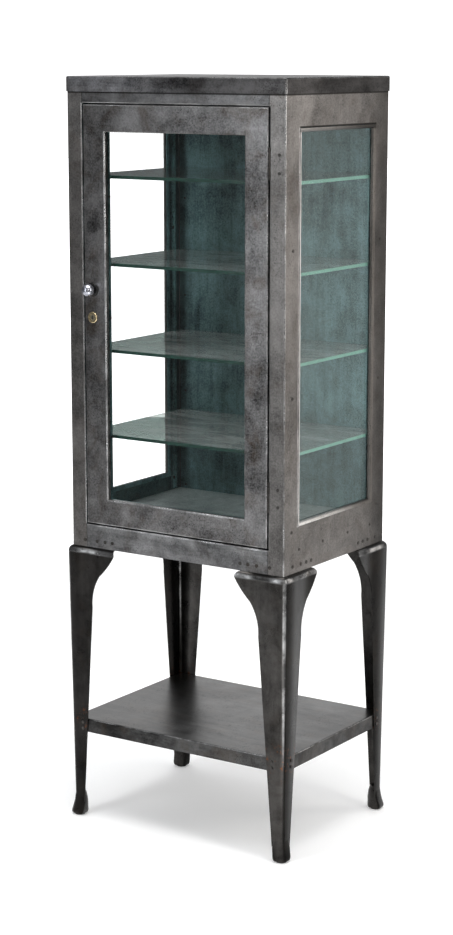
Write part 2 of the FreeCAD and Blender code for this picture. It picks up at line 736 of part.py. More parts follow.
rivets = []
glides = []
tray_rivets = []
tray_half_x = HX + leg_proud(TRAY_TOP - TRAY_RIM) - LEG_T - RUN
tray_half_y = HY + leg_proud(TRAY_TOP - TRAY_RIM) - LEG_T - RUN
for sx in (-1, 1):
    for sy in (-1, 1):
        for a in LEG_RIVETS:
            grip = SHEET + LEG_T
            x = sx * (HX - a)
            y = sy * (HY - a)
            rivets.append(fastener_y(sy * HY, sy, x, rivet_z, RIVET_R, RIVET_HEAD_R, 0.6, grip, RIVET_HEAD_R, 1.2))
            rivets.append(fastener_x(sx * HX, sx, y, rivet_z, RIVET_R, RIVET_HEAD_R, 0.6, grip, RIVET_HEAD_R, 1.2))
        for z in tray_rivet_zs:
            face = leg_proud(z) + 2 * RUN
            x = sx * (HX - TRAY_RIVET_IN)
            y = sy * (HY - TRAY_RIVET_IN)
            grip_x = HX + face - tray_half_x + SHEET
            grip_y = HY + face - tray_half_y + SHEET
            tray_rivets.append(fastener_y(sy * (HY + face), sy, x, z, SCREW_R, SCREW_HEAD_R, 1.2, grip_y, SCREW_HEAD_R, 1.2))
            tray_rivets.append(fastener_x(sx * (HX + face), sx, y, z, SCREW_R, SCREW_HEAD_R, 1.2, grip_x, SCREW_HEAD_R, 1.2))
        puck = rod_z(0, GLIDE_T, sx * foot_x, -sy * foot_y, GLIDE_R)
        puck = round_edges(puck, 1.0, at_height(0))
        stem = rod_z(GLIDE_T, GLIDE_T + GLIDE_STEM - 1, sx * foot_x, -sy * foot_y, GLIDE_STEM_R)
        glides.append(one(puck.fuse(stem).removeSplitter()))
save("leg_rivets", rivets)
save("lower_shelf_rivets", tray_rivets)
save("foot_glides", glides)

# Lower shelf: a pan with a hemmed rim
tray = box(-tray_half_x, tray_half_x, -tray_half_y, tray_half_y, TRAY_TOP - TRAY_RIM, TRAY_TOP)
tray = round_edges(tray, TRAY_CORNER, upright)
tray = round_edges(tray, BEND, at_height(TRAY_TOP))
ix = tray_half_x - SHEET
iy = tray_half_y - SHEET
room = box(-ix, ix, -iy, iy, TRAY_TOP - TRAY_RIM + SHEET, TRAY_TOP - SHEET)
room = round_edges(room, TRAY_CORNER - SHEET, upright)
hx = ix - TRAY_HEM
hy = iy - TRAY_HEM
mouth = box(-hx, hx, -hy, hy, TRAY_TOP - TRAY_RIM - 1, TRAY_TOP - SHEET)
cuts = [room, mouth]
for sx in (-1, 1):
    for sy in (-1, 1):
        for z in tray_rivet_zs:
            x = sx * (HX - TRAY_RIVET_IN)
            y = sy * (HY - TRAY_RIVET_IN)
            ends = sorted((sy * (tray_half_y + 1), sy * (tray_half_y - 3)))
            cuts.append(rod_y(ends[0], ends[1], x, z, SCREW_R + SNUG))
            ends = sorted((sx * (tray_half_x + 1), sx * (tray_half_x - 3)))
            cuts.append(rod_x(ends[0], ends[1], y, z, SCREW_R + SNUG))
save("lower_shelf", [one(tray.cut(cuts))])

# Door frame: one hollow ring with a rebate for the pane on its inner back edge
door_x0 = -OPEN_X + GAP_LATCH
door_x1 = OPEN_X - GAP_HINGE
door_z0 = OPEN_BOTTOM + GAP_BOTTOM
door_z1 = OPEN_TOP - GAP_TOP
door_back = FRONT + DOOR_T


def door_ring(outer_in, inner_in, y0, y1):
    """A ring as deep as y0 to y1, inset from the door's edge by outer_in and reaching in to inner_in."""
    a = box(door_x0 + outer_in, door_x1 - outer_in, y0, y1, door_z0 + outer_in, door_z1 - outer_in)
    b = box(
        door_x0 + inner_in,
        door_x1 - inner_in,
        y0 - 1,
        y1 + 1,
        door_z0 + inner_in,
        door_z1 - inner_in,
    )
    return a.cut(b)


def on_door_front(edge):
    return all(abs(v.Y - FRONT) < 0.01 for v in edge.Vertexes)


seat = FRONT + REBATE_Y
frame = door_ring(0, DOOR_MEMBER, FRONT, seat)
frame = frame.fuse(door_ring(0, DOOR_MEMBER - REBATE_W, seat, door_back)).removeSplitter()
frame = round_edges(frame, DOOR_EDGE, on_door_front)
hollow = door_ring(DOOR_WALL, DOOR_MEMBER - DOOR_WALL, FRONT + DOOR_WALL, seat - DOOR_WALL)
deep = door_ring(DOOR_WALL, DOOR_MEMBER - REBATE_W - DOOR_WALL, seat - DOOR_WALL, door_back - DOOR_WALL)
frame = frame.cut(hollow.fuse(deep).removeSplitter())
frame = frame.cut(rod_y(FRONT - 1, door_back + 1, KNOB_X, KNOB_Z, SPINDLE_R + RUN))
frame = frame.cut(rod_y(FRONT - 1, door_back + 1, KNOB_X, LOCK_Z, BARREL_R + SNUG))

reb = DOOR_MEMBER - REBATE_W
glass_x = (door_x0 + reb + GLASS_FIT, door_x1 - reb - GLASS_FIT)
glass_z = (door_z0 + reb, door_z1 - reb - 2 * GLASS_FIT)
glass_back = seat + DOOR_GLASS_T
save("door_pane", [box(glass_x[0], glass_x[1], seat, glass_back, glass_z[0], glass_z[1])])

strip_d = door_back - glass_back


def stop_strip(length):
    y = -length / 2
    p = [V(0, y, 0), V(strip_d, y, 0), V(strip_d, y, STOP_STRIP_W), V(0, y, STOP_STRIP_W), V(0, y, 0)]
    edges = [Part.makeLine(p[i], p[i + 1]) for i in range(4)]
    return mitred(edges, length, STOP_STRIP_W)


mid_x = (door_x0 + door_x1) / 2
mid_z = (door_z0 + door_z1) / 2
stop_half_w = (door_x1 - door_x0) / 2 - reb
stop_half_h = (door_z1 - door_z0) / 2 - reb
stops = frame_of(stop_strip, stop_half_w, stop_half_h)
stop_screws = []
stop_cuts = []
STOP_SCREW_R = 1.4
STOP_SCREW_HEAD_R = 2.4
for bar in stops:
    bar.translate(V(0, 0, mid_z))
    bar.rotate(V(0, 0, mid_z), V(0, 0, 1), 90)
    bar.translate(V(mid_x, glass_back, 0))
screw_y = glass_back + strip_d / 2
for side in (-1, 1):
    for share in (-0.64, 0.0, 0.64):
        dz = share * stop_half_h
        face = mid_x + side * (stop_half_w - STOP_STRIP_W)
        grip = STOP_STRIP_W + DOOR_WALL
        stop_screws.append(
            fastener_x(face, -side, screw_y, mid_z + dz, STOP_SCREW_R, STOP_SCREW_HEAD_R, 1.0, grip, STOP_SCREW_R, 2.0)
        )
        ends = sorted((face - side, face + side * (grip + 3)))
        stop_cuts.append(rod_x(ends[0], ends[1], screw_y, mid_z + dz, STOP_SCREW_R + SNUG))
stops = [one(bar.cut(stop_cuts)) for bar in stops]
save("door_glass_stops", stops)
save("glass_stop_screws", stop_screws)
frame = frame.cut(stop_cuts)
save("door_frame", [one(frame)])

# Knob, rosette, spindle, catch and nut
gap = 0.3


def turned(points, arcs, x, y, z):
    """Revolve a half outline of radius and forward distance about the line through x and z along Y."""
    edges = []
    for i in range(len(points) - 1):
        a = V(x + points[i][0], y - points[i][1], z)
        b = V(x + points[i + 1][0], y - points[i + 1][1], z)
        if i in arcs:
            m = V(x + arcs[i][0], y - arcs[i][1], z)
            edges.append(Part.Arc(a, m, b).toShape())
        else:
            edges.append(Part.makeLine(a, b))
    face = Part.Face(Part.Wire(edges))
    return one(face.revolve(V(x, y, z), V(0, 1, 0), 360))


bore = SPINDLE_R + RUN
rosette = turned(
    [(bore, 0), (ROSETTE_R, 0), (ROSETTE_R, 1.2), (ROSETTE_R - 4, ROSETTE_T), (bore, ROSETTE_T), (bore, 0)],
    {2: (ROSETTE_R - 1.4, 2.8)},
    KNOB_X,
    FRONT,
    KNOB_Z,
)
save("knob_rosette", [rosette])

ball_c = KNOB_REACH - KNOB_BALL
foot_d = ROSETTE_T + gap
foot_r = math.sqrt(KNOB_BALL ** 2 - (ball_c - foot_d) ** 2)
hole = SPINDLE_R + SNUG
depth = ball_c
knob = turned(
    [(hole, foot_d), (foot_r, foot_d), (0, KNOB_REACH), (0, depth), (hole, depth), (hole, foot_d)],
    {1: (KNOB_BALL, ball_c)},
    KNOB_X,
    FRONT,
    KNOB_Z,
)
save("door_knob", [knob])

nut_y = FRONT + CATCH_Y + CATCH_T
save("knob_spindle", [rod_y(FRONT - depth, nut_y + NUT_T + 1, KNOB_X, KNOB_Z, SPINDLE_R)])

hub = rod_y(door_back + gap, FRONT + CATCH_Y, KNOB_X, KNOB_Z, 7.0)
arm = box(KNOB_X - CATCH_W / 2, KNOB_X + CATCH_W / 2, FRONT + CATCH_Y, nut_y, KNOB_Z - 7, KNOB_Z + CATCH_LEN)


def along_y(edge):
    a = edge.Vertexes[0].Point
    b = edge.Vertexes[-1].Point
    return abs(a.x - b.x) < 0.01 and abs(a.z - b.z) < 0.01


arm = round_edges(arm, 4.0, along_y)
catch = hub.fuse(arm).cut(rod_y(FRONT, nut_y + 1, KNOB_X, KNOB_Z, SPINDLE_R + SNUG))
save("turn_catch", [one(catch.removeSplitter())])
nut = hex_y(nut_y, nut_y + NUT_T, KNOB_X, KNOB_Z, 13.0)
save("spindle_nut", [one(nut.cut(rod_y(nut_y - 1, nut_y + 9, KNOB_X, KNOB_Z, SPINDLE_R + SNUG)))])

# Lock barrel, plug, nut, cam and cam screw
barrel = turned(
    [
        (PLUG_R + RUN, -BARREL_END),
        (BARREL_R, -BARREL_END),
        (BARREL_R, 0),
        (LOCK_COLLAR_R, 0),
        (LOCK_COLLAR_R, 1.2),
        (LOCK_COLLAR_R - 1.6, LOCK_COLLAR_T),
        (PLUG_R + RUN, LOCK_COLLAR_T),
        (PLUG_R + RUN, -BARREL_END),
    ],
    {4: (LOCK_COLLAR_R - 0.5, 2.1)},
    KNOB_X,
    FRONT,
    LOCK_Z,
)
save("lock_barrel", [barrel])
lock_nut = hex_y(door_back, door_back + NUT_T, KNOB_X, LOCK_Z, 20.0)
save("lock_nut", [one(lock_nut.cut(rod_y(door_back - 1, door_back + 9, KNOB_X, LOCK_Z, BARREL_R + SNUG)))])

cam_y = FRONT + BARREL_END + CAM_GAP
CAM_T = 2.5
CAM_BORE = 4.0
plug = rod_y(FRONT - LOCK_COLLAR_T + 0.8, cam_y, KNOB_X, LOCK_Z, PLUG_R)
plug = plug.fuse(rod_y(cam_y, cam_y + CAM_T, KNOB_X, LOCK_Z, CAM_BORE))
plug = plug.cut(box(KNOB_X - 0.9, KNOB_X + 0.9, FRONT - 9, FRONT + 5, LOCK_Z - 3.6, LOCK_Z + 3.6))
plug = plug.cut(rod_y(cam_y - 8, cam_y + CAM_T + 1, KNOB_X, LOCK_Z, SCREW_R + SNUG))
save("lock_plug", [one(plug)])
cam = box(KNOB_X - 7, KNOB_X + 7, cam_y, cam_y + CAM_T, LOCK_Z - CATCH_LEN, LOCK_Z + 8)
cam = round_edges(cam, 4.0, along_y)
cam = cam.cut(rod_y(cam_y - 1, cam_y + 9, KNOB_X, LOCK_Z, CAM_BORE + SNUG))
save("lock_cam", [one(cam)])
cam_screw = rod_y(cam_y - 7, cam_y + CAM_T, KNOB_X, LOCK_Z, SCREW_R)
cam_screw = cam_screw.fuse(rod_y(cam_y + CAM_T, cam_y + CAM_T + 2, KNOB_X, LOCK_Z, 5.0))
save("lock_cam_screw", [one(cam_screw.removeSplitter())])

# Hinges: knuckles shared in turn by the frame leaf and the door leaf
for name, z in zip(("upper", "lower"), HINGE_ZS):
    z0 = z - HINGE_H / 2
    pitch = HINGE_H / KNUCKLES
    rings = {0: [], 1: []}
    for i in range(KNUCKLES):
        a = z0 + i * pitch + KNUCKLE_GAP / 2
        b = z0 + (i + 1) * pitch - KNUCKLE_GAP / 2
        rings[i % 2].append((a, b))
    leaf_y0 = FRONT + SHEET
    leaf_y1 = leaf_y0 + HINGE_FRAME_LEAF
    fixed = box(leaf_x0, HINGE_SCREW_X + 8, leaf_y0, leaf_y1, z0, z0 + HINGE_H)
    for a, b in rings[0]:
        fixed = fixed.fuse(rod_z(a, b, hinge_x, hinge_y, HINGE_R))
        fixed = fixed.fuse(box(hinge_x, leaf_x0 + 1, leaf_y0, leaf_y1, a, b))
    moving = box(door_x1, door_x1 + HINGE_LEAF, hinge_y + HINGE_R + NOTCH, door_back - 2, z0, z0 + HINGE_H)
    for a, b in rings[1]:
        moving = moving.fuse(rod_z(a, b, hinge_x, hinge_y, HINGE_R))
        moving = moving.fuse(box(door_x1, door_x1 + HINGE_LEAF, hinge_y, hinge_y + HINGE_R + 1, a, b))
    pin_hole = rod_z(z0 - 1, z0 + HINGE_H + 1, hinge_x, hinge_y, HINGE_PIN_R + SNUG)
    free_hole = rod_z(z0 - 1, z0 + HINGE_H + 1, hinge_x, hinge_y, HINGE_PIN_R + RUN)
    fixed = fixed.cut(pin_hole)
    moving = moving.cut(free_hole)
    for dz in (-HINGE_SCREW_DZ, HINGE_SCREW_DZ):
        fixed = fixed.cut(rod_y(FRONT, FRONT + 9, HINGE_SCREW_X, z + dz, SCREW_R + SNUG))
    save(name + "_hinge_frame_leaf", [one(fixed.removeSplitter())])
    save(name + "_hinge_door_leaf", [one(moving.removeSplitter())])
    save(name + "_hinge_pin", [rod_z(z0, z0 + HINGE_H, hinge_x, hinge_y, HINGE_PIN_R)])

screws = []
for z in HINGE_ZS:
    for dz in (-HINGE_SCREW_DZ, HINGE_SCREW_DZ):
        grip = SHEET + HINGE_FRAME_LEAF
        screws.append(fastener_y(FRONT, -1, HINGE_SCREW_X, z + dz, SCREW_R, SCREW_HEAD_R, 0.8, grip, 3.4, 2.0))
save("hinge_screws", screws)
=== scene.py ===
import math

import bpy
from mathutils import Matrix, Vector

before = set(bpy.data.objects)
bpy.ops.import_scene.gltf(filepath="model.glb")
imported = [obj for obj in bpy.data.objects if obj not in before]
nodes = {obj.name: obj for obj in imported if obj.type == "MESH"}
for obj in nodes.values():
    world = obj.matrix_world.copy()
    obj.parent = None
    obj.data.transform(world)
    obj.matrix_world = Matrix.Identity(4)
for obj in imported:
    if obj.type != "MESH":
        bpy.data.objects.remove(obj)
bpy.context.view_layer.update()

X, Y, Z = 0, 1, 2
BOTH = (-1, 1)


def reach(name, axis, grow=0.0):
    """Lowest and highest coordinate of a node at rest along one axis, in metres, moved outwards by grow."""
    values = [corner[axis] for corner in nodes[name].bound_box]
    return min(values) - grow, max(values) + grow


# Gaps and laps of the part, in metres
DOOR_GAP = 0.0025
STOP_LAP = 0.008
BEAD_GAP = 0.0008

# Places on the object, worked out from the nodes
FRONT, BACK = reach("right_side_panel", Y)
SHIFT = (FRONT + BACK) / 2
HALF_W = reach("right_side_panel", X)[1]
LEG_TOP = reach("right_side_panel", Z)[0]
CAP_X = reach("top_cap", X)[1]
CAP_Y = reach("top_cap", Y)[0]
CAP_LOW, TOP = reach("top_cap", Z)
DOOR_X = reach("door_frame", X)
DOOR_Z = reach("door_frame", Z)
OPEN_X = reach("front_top_rail", X)[1]
OPEN_Z = reach("door_frame", Z, DOOR_GAP)
WINDOW_X = reach("door_glass_stops", X, -STOP_LAP)
WINDOW_Z = reach("door_glass_stops", Z, -STOP_LAP)
SIDE_Y = reach("right_window_beads", Y, BEAD_GAP)
SIDE_Z = reach("right_window_beads", Z, BEAD_GAP)
TRAY_TOP = reach("lower_shelf", Z)[1]

# Colours and finishes that several materials share
# DIRT_AND_SHADOW: the dark of dirt spots and seams, and of painted shadow lines
DIRT_AND_SHADOW = (0.010, 0.009, 0.008)
PIT_DARK = (0.012, 0.010, 0.009)
RUST = (0.13, 0.045, 0.015)
# SHADE: the colour that the painted shade darkens towards
SHADE = (0.12, 0.11, 0.10)
TEAL_DARK = (0.012, 0.027, 0.029)
TEAL_LIGHT = (0.185, 0.305, 0.310)
SATIN = (0.24, 0.46)


class Graph:
    """A material's node tree, with short calls for the nodes used here."""

    def __init__(self, name):
        self.mat = bpy.data.materials.new(name)
        self.mat.use_nodes = True
        self.tree = self.mat.node_tree
        self.tree.nodes.clear()
        self.out = self.tree.nodes.new("ShaderNodeOutputMaterial")
        self.coords = self.tree.nodes.new("ShaderNodeTexCoord").outputs["Object"]
        self.axes = None

    def put(self, socket, value):
        if isinstance(value, bpy.types.NodeSocket):
            self.tree.links.new(value, socket)
        elif isinstance(value, tuple) and len(value) == 3 and socket.type == "RGBA":
            socket.default_value = value + (1.0,)
        else:
            socket.default_value = value

    def math(self, op, a, b=0.0, c=0.0, clamp=False):
        n = self.tree.nodes.new("ShaderNodeMath")
        n.operation = op
        n.use_clamp = clamp
        for socket, value in zip(n.inputs, (a, b, c)):
            self.put(socket, value)
        return n.outputs[0]

    def axis(self, i):
        if self.axes is None:
            n = self.tree.nodes.new("ShaderNodeSeparateXYZ")
            self.put(n.inputs[0], self.coords)
            self.axes = n.outputs
        return self.axes[i]

    def stretched(self, scale):
        n = self.tree.nodes.new("ShaderNodeMapping")
        self.put(n.inputs["Vector"], self.coords)
        n.inputs["Scale"].default_value = scale
        return n.outputs[0]

    def noise(self, scale, detail=3.0, rough=0.5, distort=0.0, vector=None):
        n = self.tree.nodes.new("ShaderNodeTexNoise")
        self.put(n.inputs["Vector"], self.coords if vector is None else vector)
        n.inputs["Scale"].default_value = scale
        n.inputs["Detail"].default_value = detail
        n.inputs["Roughness"].default_value = rough
        n.inputs["Distortion"].default_value = distort
        return n.outputs[0]

    def cells(self, scale):
        n = self.tree.nodes.new("ShaderNodeTexVoronoi")
        self.put(n.inputs["Vector"], self.coords)
        n.inputs["Scale"].default_value = scale
        return n.outputs["Distance"], n.outputs["Color"]

    def band(self, value, low, high, to_low=0.0, to_high=1.0):
        """A soft step of value: to_low up to low, to_high from high on."""
        n = self.tree.nodes.new("ShaderNodeMapRange")
        n.interpolation_type = "SMOOTHSTEP"
        for name, v in (
            ("Value", value),
            ("From Min", low),
            ("From Max", high),
            ("To Min", to_low),
            ("To Max", to_high),
        ):
            self.put(n.inputs[name], v)
        return n.outputs[0]

    def mix(self, share, a, b, way="MIX"):
        n = self.tree.nodes.new("ShaderNodeMix")
        n.data_type = "RGBA"
        n.blend_type = way
        n.clamp_factor = True
        self.put(n.inputs[0], share)
        self.put(n.inputs[6], a)
        self.put(n.inputs[7], b)
        return n.outputs[2]

    def near_line(self, along, u, v, width, low, high):
        """1 on a straight edge from low to high along one axis, fading to 0 at the given distance."""
        others = [i for i in range(3) if i != along]
        du = self.math("SUBTRACT", self.axis(others[0]), u)
        dv = self.math("SUBTRACT", self.axis(others[1]), v)
        d2 = self.math("ADD", self.math("MULTIPLY", du, du), self.math("MULTIPLY", dv, dv))
        off = self.math("ABSOLUTE", self.math("SUBTRACT", self.axis(along), (low + high) / 2))
        on = self.band(off, (high - low) / 2 - 0.001, (high - low) / 2 + 0.002, 1.0, 0.0)
        return self.math("MULTIPLY", self.band(self.math("SQRT", d2), width * 0.3, width, 1.0, 0.0), on)

    def most(self, values):
        total = values[0]
        for v in values[1:]:
            total = self.math("MAXIMUM", total, v)
        return total

    def surface(self, **sockets):
        n = self.tree.nodes.new("ShaderNodeBsdfPrincipled")
        for name, value in sockets.items():
            self.put(n.inputs[name.replace("_", " ")], value)
        self.tree.links.new(n.outputs[0], self.out.inputs["Surface"])

    def facing(self):
        """The x, y and z of the way that the surface faces."""
        n = self.tree.nodes.new("ShaderNodeSeparateXYZ")
        self.put(n.inputs[0], self.tree.nodes.new("ShaderNodeNewGeometry").outputs["True Normal"])
        return n.outputs

    def bump(self, height, strength, distance, normal=None):
        n = self.tree.nodes.new("ShaderNodeBump")
        n.inputs["Strength"].default_value = strength
        n.inputs["Distance"].default_value = distance
        self.put(n.inputs["Height"], height)
        if normal is not None:
            self.put(n.inputs["Normal"], normal)
        return n.outputs[0]


BRUSH_FINE = 420.0
BRUSH_WIDE = 46.0
BRUSH_LEAST = 6.0
TURN_BLEND = 0.004


def strokes(g, brush):
    """Fine brush lines and wider smears, both stretched along the strokes."""
    fine = g.stretched(tuple(v * BRUSH_FINE for v in brush))
    wide = g.stretched(tuple(v * BRUSH_WIDE + BRUSH_LEAST for v in brush))
    return g.noise(1.0, 3.0, 0.6, 0.0, fine), g.noise(1.0, 5.0, 0.62, 0.3, wide)


def steel(
    name,
    dark,
    light,
    stain=(0.075, 0.050, 0.032),
    stain_share=0.5,
    rough=(0.30, 0.52),
    brush=(1.0, 1.0, 0.04),
    cross=None,
    brush_share=0.3,
    contrast=1.0,
    streak=0.28,
    cloudy=0.0,
    pits=0.6,
    worn_and_lit_edges=(),
    wear_gloss=0.12,
    worn_and_lit_colour=(0.55, 0.55, 0.55),
    grime_and_shadow=(),
    shade_fades=(),
    metal=0.94,
    rust=None,
    facing=None,
    crown=None,
):
    """Stripped steel: cloudy patina, brush marks, pits, stains, worn bright edges with a painted highlight, dark
    seams, painted shadow lines and painted shade.

    brush: stretch of the brush marks per axis, least along the strokes
    cross: middle height, half height and brush of the ends, where the strokes turn
    streak, cloudy: shares of the tone moved from fine specks to smears and to clouds
    worn_and_lit_edges, grime_and_shadow: straight edges, each as near_line takes it; the first are worn bright and
    carry a painted highlight, the second are dirty seams and painted shadow lines
    shade_fades: painted shade, darker along an axis: axis, where the darkening starts, where it is full, and its
    share
    rust: middle height, spread and share of a belt of rust flakes
    facing: axis, sign, and the dark and light colour of the faces that look that way, used for the steel's own
    colours on the teal inside and the bare outside, and for painted shade on the legs' right-hand faces
    crown: side and front of the leg corner, half width and slope of its gentle rounding
    """
    g = Graph(name)
    cloud = g.noise(5.0, 5.0, 0.6, 0.6)
    mottle = g.noise(30.0, 6.0, 0.62, 0.4)
    speck = g.noise(260.0, 4.0, 0.7, 0.2)
    lines, smear = strokes(g, brush)
    if cross is not None:
        middle, half, turned = cross
        off = g.math("ABSOLUTE", g.math("SUBTRACT", g.axis(Z), middle))
        there = g.band(off, half - TURN_BLEND, half + TURN_BLEND)
        other, wide = strokes(g, turned)
        lines = g.math("MULTIPLY_ADD", g.math("SUBTRACT", other, lines), there, lines)
        smear = g.math("MULTIPLY_ADD", g.math("SUBTRACT", wide, smear), there, smear)
    grain = g.noise(800.0, 2.0, 0.5)
    tone = g.math("MULTIPLY_ADD", g.band(cloud, 0.30, 0.70), 0.44 * contrast, 0.5 - 0.66 * contrast)
    tone = g.math("MULTIPLY_ADD", g.band(mottle, 0.28, 0.74), (0.16 + cloudy) * contrast, tone)
    tone = g.math("MULTIPLY_ADD", g.band(smear, 0.26, 0.74), streak * contrast, tone)
    tone = g.math("MULTIPLY_ADD", g.band(speck, 0.30, 0.72), (0.60 - streak - cloudy) * contrast, tone)
    tone = g.math("MULTIPLY_ADD", lines, brush_share * 0.5, tone)
    tone = g.math("MULTIPLY_ADD", grain, 0.12, tone, clamp=True)
    colour = g.mix(tone, dark, light)
    # Faces turned one way get other colours: the steel's own colour inside and out, and painted shade on the legs'
    # right-hand faces
    if facing is not None:
        along, sign, shade, shine = facing
        if sign == "inward":
            sign = g.math("MULTIPLY", g.axis(along), -1.0 / HALF_W)
        turned = g.band(g.math("MULTIPLY", g.facing()[along], sign), 0.5, 0.9)
        colour = g.mix(turned, colour, g.mix(tone, shade, shine))
    blot = g.band(g.noise(13.0, 6.0, 0.68, 1.4), 0.46, 0.70, 0.0, stain_share)
    colour = g.mix(blot, colour, g.mix(0.55, colour, stain))
    # Painted shade: darker towards SHADE along an axis
    for along, low, high, share in shade_fades:
        dim = g.band(g.axis(along), low, high, 0.0, share)
        colour = g.mix(dim, colour, g.mix(1.0, colour, SHADE, "MULTIPLY"))
    distance, random = g.cells(300.0)
    patch = g.band(g.noise(10.0, 4.0, 0.6), 0.47, 0.60)
    pit = g.math("MULTIPLY", g.band(distance, 0.15, 0.42, 1.0, 0.0), g.band(random, 0.52, 0.62))
    pit = g.math("MULTIPLY", pit, g.math("MULTIPLY_ADD", patch, 0.85, 0.15))
    colour = g.mix(g.math("MULTIPLY", pit, pits), colour, PIT_DARK)
    far, which = g.cells(26.0)
    spot = g.math("MULTIPLY", g.band(far, 0.05, 0.09, 1.0, 0.0), g.band(which, 0.74, 0.80))
    colour = g.mix(g.math("MULTIPLY", spot, 0.8 * pits), colour, DIRT_AND_SHADOW)
    if rust is not None:
        height, spread, share = rust
        belt = g.band(g.math("ABSOLUTE", g.math("SUBTRACT", g.axis(Z), height)), 0.0, spread, 1.0, 0.0)
        flake = g.band(g.noise(120.0, 4.0, 0.7), 0.56, 0.66)
        flake = g.math("MULTIPLY", g.math("MULTIPLY", flake, belt), share)
        colour = g.mix(flake, colour, RUST)
    roughness = g.math("MULTIPLY_ADD", mottle, rough[1] - rough[0], rough[0])
    roughness = g.math("MULTIPLY_ADD", pit, 0.25, roughness)
    # Worn edges, lightened further with a painted highlight along them
    if worn_and_lit_edges:
        broken = g.band(g.noise(24.0, 5.0, 0.65), 0.36, 0.62, 0.12, 1.0)
        edge = g.math("MULTIPLY", g.most([g.near_line(*w) for w in worn_and_lit_edges]), broken)
        colour = g.mix(edge, colour, worn_and_lit_colour)
        roughness = g.math("MULTIPLY_ADD", edge, -wear_gloss, roughness)
    # Dark lines: dirt in the seams, and painted shadow lines
    if grime_and_shadow:
        dark_line = g.math("MULTIPLY", g.most([g.near_line(*w) for w in grime_and_shadow]), 0.9)
        colour = g.mix(dark_line, colour, DIRT_AND_SHADOW)
        roughness = g.math("MULTIPLY_ADD", dark_line, 0.2, roughness)
    height = g.math("MULTIPLY_ADD", lines, 0.35, g.math("MULTIPLY", grain, 0.4))
    height = g.math("MULTIPLY_ADD", pit, -1.6, height)
    height = g.math("MULTIPLY_ADD", mottle, 0.6, height)
    normal = g.bump(height, 0.22, 0.0006)
    if crown is not None:
        side, front, half, slope = crown
        u = g.math("SUBTRACT", side, g.math("ABSOLUTE", g.axis(X)))
        v = g.math("SUBTRACT", front, g.math("ABSOLUTE", g.math("SUBTRACT", g.axis(Y), SHIFT)))
        away = g.math("ADD", g.math("MAXIMUM", u, 0.0), g.math("MAXIMUM", v, 0.0))
        wave = g.math("SINE", g.math("MULTIPLY", away, math.pi / (2 * half)))
        normal = g.bump(wave, 1.0, slope * 2 * half / math.pi, normal)
    g.surface(Base_Color=colour, Metallic=metal, Roughness=roughness, Normal=normal)
    return g.mat


def glass(name, tint, depth, density, haze, edge, end):
    """Clear glass, a little dusty, with a body colour that deepens with the way through it.

    edge and end are the colours of the cut faces at the front and back and at the two ends: the glass's green, with
    painted light, dark at the front and back and pale at the ends.
    """
    g = Graph(name)
    dust = g.band(g.noise(1.0, 5.0, 0.7, 0.6, g.stretched((9.0, 30.0, 9.0))), 0.30, 0.72, 0.3 * haze, haze)
    clear = g.math("SUBTRACT", 1.0, dust)
    face = g.facing()
    rim = g.band(g.math("ABSOLUTE", face[Z]), 0.3, 0.7, 1.0, 0.0)
    tip = g.band(g.math("ABSOLUTE", face[X]), 0.3, 0.7)
    # The cut faces get the glass's green with painted light: dark at the front and back, pale at the ends
    tint = g.mix(rim, tint, g.mix(tip, edge, end))
    clear = g.math("MULTIPLY", clear, g.math("MULTIPLY_ADD", rim, -0.6, 1.0))
    rough = g.math("MULTIPLY", rim, 0.22)
    g.surface(Base_Color=tint, Roughness=rough, IOR=1.5, Transmission_Weight=clear)
    n = g.tree.nodes.new("ShaderNodeVolumeAbsorption")
    g.put(n.inputs["Color"], depth)
    n.inputs["Density"].default_value = density
    g.tree.links.new(n.outputs[0], g.out.inputs["Volume"])
    return g.mat


def pane(name, mirror):
    """A thin clear sheet that lets most light straight through and mirrors a set share of it."""
    g = Graph(name)
    film = g.band(g.noise(1.0, 5.0, 0.7, 0.6, g.stretched((6.0, 6.0, 2.0))), 0.40, 0.75)
    g.surface(
        Base_Color=g.mix(film, (0.80, 0.90, 0.88), (0.62, 0.70, 0.68)),
        Metallic=1.0,
        Roughness=g.math("MULTIPLY_ADD", film, 0.06, 0.17),
        Alpha=mirror,
    )
    return g.mat


def polished(name, base, tarnish, rough):
    """Bright metal with a thin film of tarnish."""
    g = Graph(name)
    film = g.band(g.noise(60.0, 4.0, 0.6, 0.4), 0.45, 0.75)
    grit = g.noise(500.0, 2.0, 0.5)
    colour = g.mix(g.math("MULTIPLY", film, 0.6), base, tarnish)
    g.surface(
        Base_Color=colour,
        Metallic=1.0,
        Roughness=g.math("MULTIPLY_ADD", film, 0.12, g.math("MULTIPLY_ADD", grit, 0.04, rough)),
    )
    return g.mat


def dress(names, material):
    """Give the named nodes one material."""
    for name in names:
        mesh = nodes[name].data
        mesh.materials.clear()
        mesh.materials.append(material)


# Straight edges, each given as axis along, the other two coordinates, width, ends: worn bright edges with a painted
# highlight, dirty seams, and painted shadow lines
corner_wear_and_highlight = [(Z, s * HALF_W, y, 0.0032, LEG_TOP, TOP) for s in BOTH for y in (FRONT, BACK)]
# Painted highlight along the front edge of each side window
window_highlight = [(Z, s * HALF_W, SIDE_Y[0] - 0.0005, 0.0042, *SIDE_Z) for s in BOTH]
stile_wear_and_highlight = [(Z, s * OPEN_X, FRONT, 0.0030, *OPEN_Z) for s in BOTH]
sill_wear_and_highlight = [(X, FRONT, z, width, -OPEN_X, OPEN_X) for z, width in zip(OPEN_Z, (0.0040, 0.0022))]
rail_ends = ((LEG_TOP, OPEN_Z[0]), (OPEN_Z[1], CAP_LOW))
seam_grime = [(Z, s * OPEN_X, FRONT, 0.0016, *ends) for s in BOTH for ends in rail_ends]
# Painted shadow along the top of each side window
window_top_shadow = [(Y, s * HALF_W, SIDE_Z[1] + 0.0008, 0.0030, *SIDE_Y) for s in BOTH]
